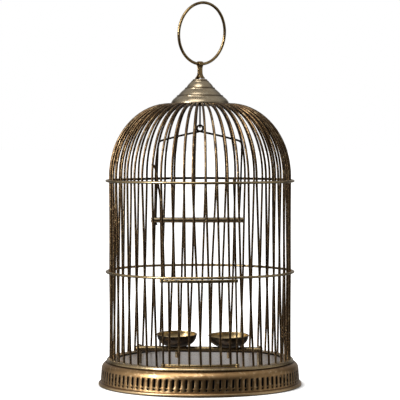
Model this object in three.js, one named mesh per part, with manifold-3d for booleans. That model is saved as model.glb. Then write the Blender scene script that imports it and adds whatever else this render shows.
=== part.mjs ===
// A round hanging bird cage of brass wire: a dome of hairpin wires on a pierced base, a lift-up
// wire door on two guide rods, a swing, a pair of feeding cups on a rail, and a hanging ring.
// Millimetres, +Z up, the door faces -Y, and the origin is on the axis at the foot of the base.

import * as THREE from 'three';
import { mergeVertices } from 'three/addons/utils/BufferGeometryUtils.js';
import Module from 'manifold-3d';

const wasm = await Module();
wasm.setup();

// ---- driving dimensions -------------------------------------------------------------------

const GAP = 0.3; // clearance between pieces that touch

// base: a pierced skirt, the flat seat ring inside it, and the floor that lies on the seat
const FOOT_RADIUS = 152;
const SEAT_HEIGHT = 34.6;
const SEAT_THICKNESS = 1.6;
const SEAT_INNER_RADIUS = 118;
const SKIRT_LIP_RADIUS = 140.2; // inner edge of the skirt's top
const SKIRT_SEGMENTS = 48;
const SLOT_COUNT = 96;
const SLOT_WIDTH = 3.6;
const SLOT_BOTTOM = 12.1;
const SLOT_TOP = 24.5;
const SLOT_RADIUS = 148;
const FLOOR_RADIUS = 123.5;
const FLOOR_TOP = 37;

// cage: the ring that the wires stand on, two hoops, and the wires of the dome
const RING_TOP = 40;
const RING_BOTTOM = SEAT_HEIGHT + GAP;
const WIRE_COUNT = 52;
const WIRE_PITCH = 360 / WIRE_COUNT; // degrees
const WIRE_RADIUS = 1.45;
const WIRE_CIRCLE = 134.4; // radius of the circle that the wires stand on
const WIRE_SIDES = 5;
const DOOR_HALF_WIRES = 3; // wires -3 to 3 stop above the doorway
const HOOP_INNER_RADIUS = WIRE_CIRCLE + WIRE_RADIUS + GAP;
const HOOP_WIDTH = 5;
const HOOP_HEIGHT = 3.8;
const MIDDLE_HOOP_HEIGHT = 169.4;
const UPPER_HOOP_HEIGHT = 305.2;
const MIDDLE_TWIST = -2; // degrees that the wires have turned by the middle hoop
const UPPER_TWIST = -3.65; // and by the upper hoop
const DOME_SPRING_HEIGHT = 311.6;
const DOME_TOP_HEIGHT = 419.2;
const DOME_FLAT_RADIUS = 45; // inside this radius the wires run level
const DOME_STEPS = 6;
const HAIRPIN_RADIUS = 40; // where a wire turns back to its neighbour

// crown: plate, stem, spun cap
const CAP_RIM_RADIUS = 43;
const CAP_RIM_HEIGHT = DOME_TOP_HEIGHT + WIRE_RADIUS + GAP;
const CAP_TOP_HEIGHT = 457;
const CAP_WALL = 1;
const CROWN_PLATE_RADIUS = 35.6;
const CROWN_PLATE_BOTTOM = 416.5;
const CROWN_PLATE_TOP = 418.5;
const CROWN_STEM_RADIUS = 3;

// hanger: a folded strap on the cap and the ring that it holds
const HANGER_TURN = 41.3; // degrees between the ring's plane and +X
const HANGING_RING_RADIUS = 45.5;
const HANGING_RING_WIRE = 1.95;
const HANGING_RING_LEAN = 5.7; // degrees
const HANGING_RING_FOOT = 479.2; // height of the wire where the clip holds it
const CLIP_WIDTH = 8;
const CLIP_THICKNESS = 1.4;
const CLIP_LOOP_RADIUS = 3.4;
const CLIP_FOOT_SPREAD = 7;
const CLIP_FOOT_HEIGHT = CAP_TOP_HEIGHT + GAP + CLIP_THICKNESS / 2;

// door: two guide rods and a frame of seven bars between two rails
const GUIDE_CIRCLE = 130;
const LEFT_GUIDE_ANGLE = -23.9;
const RIGHT_GUIDE_ANGLE = 24.4;
const GUIDE_LEAN = new THREE.Vector3(
  -Math.tan(THREE.MathUtils.degToRad(1)),
  Math.tan(THREE.MathUtils.degToRad(0.5)),
  1,
); // sideways run for each millimetre of height
const GUIDE_STRAIGHT_TOP = 283;
const RIGHT_GUIDE_TOP = 311;
const RAIL_THICKNESS = 3.2;
const BOTTOM_RAIL_HEIGHT = 4.3;
const TOP_RAIL_HEIGHT = 4.7;
const TOP_RAIL_TOP = 166.35;
const EYE_RADIUS = 3.3;
const EYE_BORE = 1.9;
const DOOR_BARS = 7;
const FIRST_BAR_ANGLE = -19.6;
const BAR_PITCH = 6.55;

// feeder: a round rail on two posts, with a cup on a pin near each end
const RAIL_RADIUS = 4.3;
const RAIL_LENGTH = 188;
const RAIL_HEIGHT = 58;
const RAIL_ACROSS = -1.3; // middle of the rail, beside the axis
const RAIL_FRONT = 49.5; // and in front of it
const RAIL_TURN = -6.8; // degrees about the axis
const RAIL_BORE = 3.2;
const POST_DISTANCE = 88.3;
const POST_RADIUS = 2.8;
const POST_TOP = 65;
const PIN_RADIUS = 2.6;
const PIN_BOTTOM = 45;
const CUP_TILT = 3; // degrees that the cups lean towards the door
const CUPS = [
  { side: 'left', along: -33, radius: 30, height: 18.4 },
  { side: 'right', along: 43.6, radius: 30, height: 17.4 },
];
const CUP_WALL = 1;
const CUP_BASE_RADIUS = 9;

// swing: a hook under the crown, a bail of one wire, and a round perch
const SWING_WIRE = 1.3;
const HOOK_WIRE = 1.2;
const HOOK_BEND = 3.5;
const HOOK_BEND_HEIGHT = 388.4;
const EYE_LOOP_RADIUS = 4.5;
const EYE_LOOP_HEIGHT = 383.25;
const EYE_CROSSING = 1.5; // how far each end of the eye stands off the bail's plane
const BAIL_SHOULDER = 62;
const BAIL_SHOULDER_HEIGHT = 364;
const BAIL_LEFT_FOOT = -66;
const BAIL_RIGHT_FOOT = 58.5;
const PERCH_RADIUS = 3.95;
const PERCH_HEIGHT = 246.3;
const PERCH_LEFT = -73.2;
const PERCH_RIGHT = 65.9;
const PERCH_BORE = 1.7;

// ---- finishes -----------------------------------------------------------------------------

const finish = (color, roughness, metalness) =>
  new THREE.MeshStandardMaterial({ color, roughness, metalness });
const agedBrassWire = finish(0x9a7f4f, 0.42, 0.9);
const goldenBrass = finish(0xa8834a, 0.35, 0.9);
const capBronze = finish(0x96876e, 0.38, 0.9);
const greyFloor = finish(0xa39c92, 0.3, 0.8);
const cupBrass = finish(0x8f713c, 0.4, 0.9);
const darkPerch = finish(0x4f4638, 0.5, 0.6);

// ---- helpers ------------------------------------------------------------------------------

const radians = THREE.MathUtils.degToRad;
const point = (x, y, z) => new THREE.Vector3(x, y, z);

// a place on the cage: its angle is counted from the front, positive towards +X
function around(radius, degrees, height) {
  const angle = radians(degrees);
  return point(radius * Math.sin(angle), -radius * Math.cos(angle), height);
}

// a path that is sampled at the stations it was given, so that bends get steps and straights none
class StationPath extends THREE.Curve {
  constructor(stations) {
    super();
    this.stations = stations;
  }

  getPoint(t) {
    const place = t * (this.stations.length - 1);
    const index = Math.min(Math.floor(place + 1e-6), this.stations.length - 2);
    return this.stations[index].clone().lerp(this.stations[index + 1], place - index);
  }

  getPointAt(t) {
    return this.getPoint(t);
  }

  getTangentAt(t) {
    const index = Math.round(t * (this.stations.length - 1));
    const here = this.stations[index];
    const before = this.stations[Math.max(index - 1, 0)];
    const after = this.stations[Math.min(index + 1, this.stations.length - 1)];
    const arriving = here.clone().sub(before).normalize();
    const leaving = after.clone().sub(here).normalize();
    return arriving.add(leaving).normalize();
  }
}

function roundSection(radius, sides) {
  const corners = [];
  for (let side = 0; side < sides; side += 1) {
    const angle = (side * 2 * Math.PI) / sides;
    corners.push(new THREE.Vector2(radius * Math.cos(angle), radius * Math.sin(angle)));
  }
  return new THREE.Shape(corners);
}

// round wire through the stations
function wire(stations, radius = WIRE_RADIUS, sides = WIRE_SIDES) {
  return new THREE.ExtrudeGeometry(roundSection(radius, sides), {
    extrudePath: new StationPath(stations),
    steps: stations.length - 1,
  });
}

// a turned or spun piece about the Z axis, from [radius, height] pairs that go up the outside
function turned(profile, segments) {
  const outline = profile.map(([radius, height]) => new THREE.Vector2(radius, height));
  return new THREE.LatheGeometry(outline, segments).rotateX(Math.PI / 2);
}

function closedTurned(profile, segments) {
  return turned([...profile, profile[0]], segments);
}

// stations on an arc about a centre: along + up * angle, in degrees
function arcStations(centre, along, up, radius, from, to, steps) {
  const stations = [];
  for (let step = 0; step <= steps; step += 1) {
    const angle = radians(from + ((to - from) * step) / steps);
    const sideways = along.clone().multiplyScalar(radius * Math.cos(angle));
    const upwards = up.clone().multiplyScalar(radius * Math.sin(angle));
    stations.push(centre.clone().add(sideways).add(upwards));
  }
  return stations;
}

function toSolid(geometry) {
  const bare = geometry.clone();
  bare.deleteAttribute('normal');
  bare.deleteAttribute('uv');
  const merged = mergeVertices(bare, 1e-4);
  const vertProperties = new Float32Array(merged.attributes.position.array);
  const triVerts = new Uint32Array(merged.index.array);
  return new wasm.Manifold(new wasm.Mesh({ numProp: 3, vertProperties, triVerts }));
}

function toGeometry(solid) {
  const { vertProperties, triVerts } = solid.getMesh();
  const geometry = new THREE.BufferGeometry();
  geometry.setAttribute('position', new THREE.BufferAttribute(vertProperties, 3));
  geometry.setIndex(new THREE.BufferAttribute(triVerts, 1));
  geometry.computeVertexNormals();
  return geometry;
}

function cut(geometry, cutters) {
  let solid = toSolid(geometry);
  for (const cutter of cutters) {
    solid = solid.subtract(toSolid(cutter));
  }
  return toGeometry(solid);
}

const X_AXIS = point(1, 0, 0);
const Y_AXIS = point(0, 1, 0);
const Z_AXIS = point(0, 0, 1);

// ---- base ---------------------------------------------------------------------------------

// beaded foot, pierced wall and rolled shoulder, in one pressed ring
function baseSkirt() {
  const profile = [
    [147.5, 0],
    [FOOT_RADIUS - 0.7, 0],
    [FOOT_RADIUS, 2.3],
    [FOOT_RADIUS - 0.7, 4.6],
    [149, 5.4],
    [148.8, 6.4],
    [147.6, 24],
    [146.3, 29],
    [143.8, 33],
    [141.4, SEAT_HEIGHT],
    [SKIRT_LIP_RADIUS, SEAT_HEIGHT],
    [SKIRT_LIP_RADIUS, SEAT_HEIGHT - SEAT_THICKNESS],
    [144.6, 28.4],
    [146, 23.5],
    [147.1, 6],
  ];
  const slotHeight = SLOT_TOP - SLOT_BOTTOM;
  const slots = [];
  for (let index = 0; index < SLOT_COUNT; index += 1) {
    const angle = ((index + 0.5) * 360) / SLOT_COUNT;
    const centre = around(SLOT_RADIUS, angle, (SLOT_BOTTOM + SLOT_TOP) / 2);
    const slot = new THREE.BoxGeometry(SLOT_WIDTH, 8, slotHeight);
    slots.push(slot.rotateZ(radians(angle)).translate(centre.x, centre.y, centre.z));
  }
  return cut(closedTurned(profile, SKIRT_SEGMENTS), slots);
}

// flat ring soldered inside the skirt's lip, which carries the floor and the cage
function seatRing() {
  const outer = SKIRT_LIP_RADIUS - GAP;
  const bottom = SEAT_HEIGHT - SEAT_THICKNESS;
  const profile = [
    [SEAT_INNER_RADIUS, bottom],
    [outer, bottom],
    [outer, SEAT_HEIGHT],
    [SEAT_INNER_RADIUS, SEAT_HEIGHT],
  ];
  return closedTurned(profile, SKIRT_SEGMENTS);
}

function floorPlate() {
  const bottom = SEAT_HEIGHT + GAP;
  const profile = [
    [0, bottom],
    [FLOOR_RADIUS, bottom],
    [FLOOR_RADIUS, FLOOR_TOP],
    [0, FLOOR_TOP],
  ];
  return turned(profile, SKIRT_SEGMENTS);
}

// ---- feeder -------------------------------------------------------------------------------

// a place on the feeder rail, counted along it from the middle
function onRail(along, height) {
  const angle = radians(RAIL_TURN);
  const x = RAIL_ACROSS + along * Math.cos(angle);
  return point(x, -RAIL_FRONT + along * Math.sin(angle), height);
}

function placedOnRail(geometry, along, tilt) {
  const centre = onRail(along, RAIL_HEIGHT);
  return geometry
    .translate(0, 0, -RAIL_HEIGHT)
    .rotateX(radians(tilt))
    .translate(centre.x, centre.y, centre.z);
}

function uprightBore() {
  return new THREE.CylinderGeometry(RAIL_BORE, RAIL_BORE, 6 * RAIL_RADIUS, 12)
    .rotateX(Math.PI / 2)
    .translate(0, 0, RAIL_HEIGHT);
}

function feederRail() {
  const rail = new THREE.CylinderGeometry(RAIL_RADIUS, RAIL_RADIUS, RAIL_LENGTH, 12)
    .rotateZ(Math.PI / 2)
    .rotateZ(radians(RAIL_TURN))
    .translate(RAIL_ACROSS, -RAIL_FRONT, RAIL_HEIGHT);
  const bores = [
    placedOnRail(uprightBore(), -POST_DISTANCE, 0),
    placedOnRail(uprightBore(), POST_DISTANCE, 0),
    ...CUPS.map((cup) => placedOnRail(uprightBore(), cup.along, CUP_TILT)),
  ];
  return cut(rail, bores);
}

// a post that stands on the floor, its domed end through the rail
function feederPost(along) {
  const profile = [
    [0, FLOOR_TOP + GAP],
    [POST_RADIUS, FLOOR_TOP + GAP],
    [POST_RADIUS, POST_TOP - 1.2],
    [POST_RADIUS - 1, POST_TOP],
    [0, POST_TOP],
  ];
  return placedOnRail(turned(profile, 12), along, 0);
}

// the pin under a cup, which drops through the rail
function cupStem(cup) {
  const top = RAIL_HEIGHT + RAIL_RADIUS;
  const profile = [
    [0, PIN_BOTTOM],
    [PIN_RADIUS - 0.5, PIN_BOTTOM],
    [PIN_RADIUS, PIN_BOTTOM + 0.6],
    [PIN_RADIUS, top],
    [0, top],
  ];
  return placedOnRail(turned(profile, 12), cup.along, CUP_TILT);
}

// a spun bowl: flat base, full rounded sides and a rolled lip
function cupBowl(cup) {
  const bottom = RAIL_HEIGHT + RAIL_RADIUS + GAP + 0.05;
  const sideSteps = 4;
  const outside = [[0, bottom]];
  const inside = [];
  for (let step = 0; step <= sideSteps; step += 1) {
    const angle = radians((90 * step) / sideSteps);
    const reach = cup.radius - 0.6 - CUP_BASE_RADIUS;
    const rise = cup.height - 0.8;
    const bulge = Math.sin(angle) ** 0.9;
    const lift = 1 - Math.cos(angle);
    outside.push([CUP_BASE_RADIUS + reach * bulge, bottom + rise * lift]);
    inside.unshift([
      CUP_BASE_RADIUS - 0.4 + (reach - CUP_WALL + 0.4) * bulge,
      bottom + CUP_WALL + (rise - CUP_WALL) * lift,
    ]);
  }
  const lip = [
    [cup.radius, bottom + cup.height - 0.6],
    [cup.radius - 0.5, bottom + cup.height],
    [cup.radius - 1.6, bottom + cup.height],
  ];
  const profile = [...outside, ...lip, ...inside, [0, bottom + CUP_WALL]];
  return placedOnRail(turned(profile, 20), cup.along, CUP_TILT);
}

// ---- cage ---------------------------------------------------------------------------------

function bottomRing() {
  const profile = [
    [124.4, RING_BOTTOM],
    [139, RING_BOTTOM],
    [140, RING_BOTTOM + 1.2],
    [139.6, RING_TOP - 1],
    [138.4, RING_TOP],
    [125.4, RING_TOP],
    [124.4, RING_TOP - 1],
  ];
  return closedTurned(profile, WIRE_COUNT);
}

// an oval hoop outside the wires, its corners on the wires' own angles
function hoop(height, twist) {
  const middle = HOOP_INNER_RADIUS + HOOP_WIDTH / 2;
  const profile = [
    [HOOP_INNER_RADIUS, height - HOOP_HEIGHT * 0.25],
    [middle - HOOP_WIDTH * 0.25, height - HOOP_HEIGHT / 2],
    [middle + HOOP_WIDTH * 0.25, height - HOOP_HEIGHT / 2],
    [middle + HOOP_WIDTH / 2, height - HOOP_HEIGHT * 0.25],
    [middle + HOOP_WIDTH / 2, height + HOOP_HEIGHT * 0.25],
    [middle + HOOP_WIDTH * 0.25, height + HOOP_HEIGHT / 2],
    [middle - HOOP_WIDTH * 0.25, height + HOOP_HEIGHT / 2],
    [HOOP_INNER_RADIUS, height + HOOP_HEIGHT * 0.25],
  ];
  return closedTurned(profile, WIRE_COUNT).rotateZ(radians(twist));
}

// one leg of a hairpin from its foot, or from the middle hoop above the door, to the crown
function wireLeg(index) {
  const angle = index * WIRE_PITCH;
  const aboveDoor = Math.abs(index) <= DOOR_HALF_WIRES;
  const hoopFoot = MIDDLE_HOOP_HEIGHT - HOOP_HEIGHT / 2;
  const stations = [around(WIRE_CIRCLE, angle + MIDDLE_TWIST, hoopFoot)];
  if (!aboveDoor) {
    stations.unshift(around(WIRE_CIRCLE, angle, RING_TOP + GAP));
  }
  stations.push(around(WIRE_CIRCLE, angle + UPPER_TWIST, UPPER_HOOP_HEIGHT));
  for (let step = 0; step <= DOME_STEPS; step += 1) {
    const turn = radians((90 * step) / DOME_STEPS);
    const reach = WIRE_CIRCLE - DOME_FLAT_RADIUS;
    const rise = DOME_TOP_HEIGHT - DOME_SPRING_HEIGHT;
    const radius = DOME_FLAT_RADIUS + reach * Math.cos(turn);
    const height = DOME_SPRING_HEIGHT + rise * Math.sin(turn);
    stations.push(around(radius, angle + UPPER_TWIST, height));
  }
  stations.push(around(HAIRPIN_RADIUS, angle + UPPER_TWIST, DOME_TOP_HEIGHT));
  return stations;
}

// two neighbouring wires that are one length of wire, turned back under the cap
function hairpinWire(index) {
  const leftLeg = wireLeg(index);
  const rightLeg = wireLeg(index + 1);
  const middleAngle = (index + 0.5) * WIRE_PITCH + UPPER_TWIST;
  const halfPitch = radians(WIRE_PITCH / 2);
  const centre = around(HAIRPIN_RADIUS * Math.cos(halfPitch), middleAngle, DOME_TOP_HEIGHT);
  const across = around(1, middleAngle + 90, 0);
  const inwards = around(-1, middleAngle, 0);
  const bend = HAIRPIN_RADIUS * Math.sin(halfPitch);
  const turn = arcStations(centre, across, inwards, bend, 180, 0, 3);
  return wire([...leftLeg, ...turn.slice(1, -1), ...rightLeg.reverse()]);
}

function crownPlate() {
  const profile = [
    [0, CROWN_PLATE_BOTTOM],
    [CROWN_PLATE_RADIUS, CROWN_PLATE_BOTTOM],
    [CROWN_PLATE_RADIUS, CROWN_PLATE_TOP],
    [0, CROWN_PLATE_TOP],
  ];
  return turned(profile, 36);
}

// the stem between the crown plate and the cap, which carries the hanger's pull
function crownStem() {
  const bottom = CROWN_PLATE_TOP + GAP;
  const top = CAP_TOP_HEIGHT - CAP_WALL - GAP;
  const stem = new THREE.CylinderGeometry(CROWN_STEM_RADIUS, CROWN_STEM_RADIUS, top - bottom, 12);
  return stem.rotateX(Math.PI / 2).translate(0, 0, (top + bottom) / 2);
}

// a thin spun cap of three rounded tiers, each smaller than the one below
function crownCap() {
  const outside = [
    [CAP_RIM_RADIUS, CAP_RIM_HEIGHT],
    [42, 424],
    [38, 428.2],
    [33, 431.6],
    [31.8, 433.4],
    [27.4, 438],
    [21.6, 442.8],
    [19.9, 445.2],
    [16.4, 449.6],
    [11.6, 453.8],
    [10.5, 455.6],
    [8.6, CAP_TOP_HEIGHT],
    [0, CAP_TOP_HEIGHT],
  ];
  const inside = outside.map(([radius, height], index) => {
    const sunk = index === 0 ? height : height - CAP_WALL;
    return [Math.max(radius - CAP_WALL, 0), sunk];
  });
  const underside = inside.slice(0, -1).reverse();
  return turned([[0, CAP_TOP_HEIGHT - CAP_WALL], ...underside, ...outside], 28);
}

// ---- hanger -------------------------------------------------------------------------------

// a strap folded round the hanging ring, its two legs together and its feet spread on the cap
function hangerClip() {
  const half = CLIP_THICKNESS / 2;
  const leg = half + GAP / 2;
  const loopCentre = HANGING_RING_FOOT;
  const side = [];
  const footHeight = CLIP_FOOT_HEIGHT;
  side.push([CLIP_FOOT_SPREAD, footHeight]);
  side.push([CLIP_FOOT_SPREAD * 0.55, footHeight + 0.4]);
  side.push([leg + 0.9, footHeight + 3.6]);
  side.push([leg, footHeight + 6]);
  side.push([leg, loopCentre - CLIP_LOOP_RADIUS - 1.6]);
  for (let degrees = -50; degrees <= 80; degrees += 26) {
    const angle = radians(degrees);
    side.push([
      CLIP_LOOP_RADIUS * Math.cos(angle),
      loopCentre + CLIP_LOOP_RADIUS * Math.sin(angle),
    ]);
  }
  const right = side.map(([across, height]) => new THREE.Vector2(across, height));
  const left = side.map(([across, height]) => new THREE.Vector2(-across, height)).reverse();
  const strap = offsetOutline([...right, ...left], half);
  const clip = new THREE.ExtrudeGeometry(strap, { depth: CLIP_WIDTH, bevelEnabled: false });
  return clip
    .translate(0, 0, -CLIP_WIDTH / 2)
    .rotateX(Math.PI / 2)
    .rotateZ(radians(HANGER_TURN + 90));
}

// the outline of a strip that follows a line in its plane, half its thickness to each side
function offsetOutline(line, half) {
  const outer = [];
  const inner = [];
  line.forEach((here, index) => {
    const before = line[Math.max(index - 1, 0)];
    const after = line[Math.min(index + 1, line.length - 1)];
    const arriving = here.clone().sub(before).normalize();
    const leaving = after.clone().sub(here).normalize();
    const along = arriving.add(leaving).normalize();
    const across = new THREE.Vector2(along.y, -along.x).multiplyScalar(half);
    outer.push(here.clone().add(across));
    inner.unshift(here.clone().sub(across));
  });
  return new THREE.Shape([...outer, ...inner]);
}

function hangingRing() {
  const ring = new THREE.TorusGeometry(HANGING_RING_RADIUS, HANGING_RING_WIRE, 6, 36);
  return ring
    .rotateX(Math.PI / 2)
    .translate(0, 0, HANGING_RING_RADIUS)
    .rotateX(radians(HANGING_RING_LEAN))
    .rotateZ(radians(HANGER_TURN))
    .translate(0, 0, HANGING_RING_FOOT);
}

// ---- door ---------------------------------------------------------------------------------

// how far the leaning guides have moved sideways at a height
function leanAt(height) {
  return GUIDE_LEAN.clone().multiplyScalar(height - RING_TOP).setZ(0);
}

function onGuide(angle, height) {
  return around(GUIDE_CIRCLE, angle, height).add(leanAt(height));
}

// the left rod bends out between two wires and hooks over the left one
function leftGuideRod() {
  return wire([
    onGuide(LEFT_GUIDE_ANGLE, RING_TOP + GAP),
    onGuide(LEFT_GUIDE_ANGLE, GUIDE_STRAIGHT_TOP),
    point(-58.4, -118.4, 293),
    point(-60, -119.6, 302),
    point(-61.3, -119.3, 312),
    point(-62, -119, 320),
    point(-64.3, -119.2, 326.6),
    point(-66.3, -118.8, 330.4),
    point(-69.2, -118, 331.6),
  ]);
}

// the right rod bends out to the inside of the upper hoop and stops above it
function rightGuideRod() {
  return wire([
    onGuide(RIGHT_GUIDE_ANGLE, RING_TOP + GAP),
    onGuide(RIGHT_GUIDE_ANGLE, GUIDE_STRAIGHT_TOP),
    point(48.9, -120.6, 293),
    point(48.5, -125, 302),
    point(48.2, -125.2, RIGHT_GUIDE_TOP),
  ]);
}

// a curved rail between the guides, with a round eye on each guide
function doorRail(bottom, height) {
  const inner = GUIDE_CIRCLE - RAIL_THICKNESS / 2;
  const outer = GUIDE_CIRCLE + RAIL_THICKNESS / 2;
  const steps = 14;
  const front = [];
  const back = [];
  for (let step = 0; step <= steps; step += 1) {
    const share = step / steps;
    const angle = THREE.MathUtils.lerp(LEFT_GUIDE_ANGLE, RIGHT_GUIDE_ANGLE, share);
    const outside = around(outer, angle, 0);
    const inside = around(inner, angle, 0);
    front.push(new THREE.Vector2(outside.x, outside.y));
    back.unshift(new THREE.Vector2(inside.x, inside.y));
  }
  const strip = new THREE.ExtrudeGeometry(new THREE.Shape([...front, ...back]), {
    depth: height,
    bevelEnabled: false,
  });
  let rail = toSolid(strip.translate(0, 0, bottom));
  const middle = bottom + height / 2;
  for (const angle of [LEFT_GUIDE_ANGLE, RIGHT_GUIDE_ANGLE]) {
    const centre = around(GUIDE_CIRCLE, angle, middle);
    const eye = new THREE.CylinderGeometry(EYE_RADIUS, EYE_RADIUS, height, 12);
    const bore = new THREE.CylinderGeometry(EYE_BORE, EYE_BORE, 3 * height, 12);
    rail = rail.add(toSolid(eye.rotateX(Math.PI / 2).translate(...centre.toArray())));
    rail = rail.subtract(toSolid(bore.rotateX(Math.PI / 2).translate(...centre.toArray())));
  }
  const shift = leanAt(middle);
  return toGeometry(rail).translate(shift.x, shift.y, 0);
}

function doorBar(index) {
  const angle = FIRST_BAR_ANGLE + index * BAR_PITCH;
  const bottom = RING_TOP + GAP + BOTTOM_RAIL_HEIGHT + GAP;
  const top = TOP_RAIL_TOP - TOP_RAIL_HEIGHT - GAP;
  return wire([onGuide(angle, bottom), onGuide(angle, top)]);
}

// ---- swing --------------------------------------------------------------------------------

function swingHook() {
  const centre = point(0, 0, HOOK_BEND_HEIGHT);
  return wire([
    point(0, -HOOK_BEND, CROWN_PLATE_BOTTOM - GAP),
    ...arcStations(centre, Y_AXIS, Z_AXIS, HOOK_BEND, 180, 360, 8),
    point(0, HOOK_BEND, HOOK_BEND_HEIGHT + 3.2),
  ], HOOK_WIRE);
}

// one wire: up through the perch, over the left shoulder, round the eye and down again
function swingBail() {
  const left = [
    point(BAIL_LEFT_FOOT + 1.6, 0.4, PERCH_HEIGHT - PERCH_RADIUS - 3.4),
    point(BAIL_LEFT_FOOT, 0, PERCH_HEIGHT - PERCH_RADIUS - 1.2),
    point(BAIL_LEFT_FOOT, 0, PERCH_HEIGHT + PERCH_RADIUS + 2),
    point(-BAIL_SHOULDER - 0.4, 0, BAIL_SHOULDER_HEIGHT - 5),
    point(-BAIL_SHOULDER + 0.6, 0, BAIL_SHOULDER_HEIGHT - 1),
    point(-BAIL_SHOULDER + 5, 0, BAIL_SHOULDER_HEIGHT + 1.3),
    point(-4, -EYE_CROSSING, EYE_LOOP_HEIGHT - EYE_LOOP_RADIUS - 0.9),
  ];
  const eye = [];
  const steps = 11;
  for (let step = 0; step <= steps; step += 1) {
    const share = step / steps;
    const angle = radians(THREE.MathUtils.lerp(-62, 242, share));
    eye.push(point(
      EYE_LOOP_RADIUS * Math.cos(angle),
      THREE.MathUtils.lerp(-EYE_CROSSING, EYE_CROSSING, share),
      EYE_LOOP_HEIGHT + EYE_LOOP_RADIUS * Math.sin(angle),
    ));
  }
  const right = [
    point(4, EYE_CROSSING, EYE_LOOP_HEIGHT - EYE_LOOP_RADIUS - 0.9),
    point(BAIL_SHOULDER - 5, 0, BAIL_SHOULDER_HEIGHT + 1.3),
    point(BAIL_SHOULDER - 0.6, 0, BAIL_SHOULDER_HEIGHT - 1),
    point(BAIL_SHOULDER + 0.4, 0, BAIL_SHOULDER_HEIGHT - 5),
    point(BAIL_RIGHT_FOOT, 0, PERCH_HEIGHT + PERCH_RADIUS + 2),
    point(BAIL_RIGHT_FOOT, 0, PERCH_HEIGHT - PERCH_RADIUS - 1.2),
    point(BAIL_RIGHT_FOOT + 0.9, 0, PERCH_HEIGHT - PERCH_RADIUS - 4),
    point(BAIL_RIGHT_FOOT + 0.3, 0, PERCH_HEIGHT - PERCH_RADIUS - 9.4),
  ];
  return wire([...left, ...eye, ...right], SWING_WIRE);
}

// a round perch with a bore near each end for the bail
function swingPerch() {
  const profile = [
    [0, PERCH_LEFT],
    [PERCH_RADIUS - 0.8, PERCH_LEFT],
    [PERCH_RADIUS, PERCH_LEFT + 0.8],
    [PERCH_RADIUS, PERCH_RIGHT - 0.8],
    [PERCH_RADIUS - 0.8, PERCH_RIGHT],
    [0, PERCH_RIGHT],
  ];
  const rod = turned(profile, 12).rotateY(Math.PI / 2).translate(0, 0, PERCH_HEIGHT);
  const bores = [BAIL_LEFT_FOOT, BAIL_RIGHT_FOOT].map((across) =>
    new THREE.CylinderGeometry(PERCH_BORE, PERCH_BORE, 6 * PERCH_RADIUS, 10)
      .rotateX(Math.PI / 2)
      .translate(across, 0, PERCH_HEIGHT));
  return cut(rod, bores);
}

// ---- assembly -----------------------------------------------------------------------------

function piece(name, geometry, material) {
  const mesh = new THREE.Mesh(geometry, material);
  mesh.name = name;
  return mesh;
}

function baseGroup() {
  const group = new THREE.Group();
  group.add(piece('base_skirt', baseSkirt(), goldenBrass));
  group.add(piece('seat_ring', seatRing(), goldenBrass));
  group.add(piece('floor_plate', floorPlate(), greyFloor));
  group.add(piece('feeder_rail', feederRail(), agedBrassWire));
  group.add(piece('feeder_post_left', feederPost(-POST_DISTANCE), goldenBrass));
  group.add(piece('feeder_post_right', feederPost(POST_DISTANCE), goldenBrass));
  for (const cup of CUPS) {
    group.add(piece(`cup_${cup.side}`, cupBowl(cup), cupBrass));
    group.add(piece(`cup_stem_${cup.side}`, cupStem(cup), goldenBrass));
  }
  return group;
}

function cageGroup() {
  const group = new THREE.Group();
  group.add(piece('bottom_ring', bottomRing(), goldenBrass));
  group.add(piece('middle_hoop', hoop(MIDDLE_HOOP_HEIGHT, MIDDLE_TWIST), agedBrassWire));
  group.add(piece('upper_hoop', hoop(UPPER_HOOP_HEIGHT, UPPER_TWIST), agedBrassWire));
  for (let pair = 0; pair < WIRE_COUNT / 2; pair += 1) {
    const first = 2 * pair - WIRE_COUNT / 2;
    const name = `hairpin_wire_${String(pair + 1).padStart(2, '0')}`;
    group.add(piece(name, hairpinWire(first), agedBrassWire));
  }
  group.add(piece('crown_plate', crownPlate(), agedBrassWire));
  group.add(piece('crown_stem', crownStem(), goldenBrass));
  group.add(piece('crown_cap', crownCap(), capBronze));
  group.add(piece('hanger_clip', hangerClip(), goldenBrass));
  group.add(piece('hanging_ring', hangingRing(), goldenBrass));
  group.add(piece('guide_rod_left', leftGuideRod(), agedBrassWire));
  group.add(piece('guide_rod_right', rightGuideRod(), agedBrassWire));
  return group;
}

function doorGroup() {
  const group = new THREE.Group();
  const bottomRail = doorRail(RING_TOP + GAP, BOTTOM_RAIL_HEIGHT);
  const topRail = doorRail(TOP_RAIL_TOP - TOP_RAIL_HEIGHT, TOP_RAIL_HEIGHT);
  group.add(piece('door_bottom_rail', bottomRail, agedBrassWire));
  group.add(piece('door_top_rail', topRail, agedBrassWire));
  for (let index = 0; index < DOOR_BARS; index += 1) {
    group.add(piece(`door_bar_${index + 1}`, doorBar(index), agedBrassWire));
  }
  return group;
}

function swingGroup() {
  const group = new THREE.Group();
  group.add(piece('swing_hook', swingHook(), agedBrassWire));
  group.add(piece('swing_bail', swingBail(), agedBrassWire));
  group.add(piece('swing_perch', swingPerch(), darkPerch));
  return group;
}

const birdCage = new THREE.Group();
birdCage.add(baseGroup(), cageGroup(), doorGroup(), swingGroup());

export default birdCage;
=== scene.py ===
"""A round brass bird cage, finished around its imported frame: drawn wires, a pierced base, a spun cap,
a sliding wire door, a swing, two feeding cups and a hanging ring. Sizes are in millimetres."""

import math
import random

import bpy
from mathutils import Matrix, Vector
from mathutils.geometry import delaunay_2d_cdt


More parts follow.
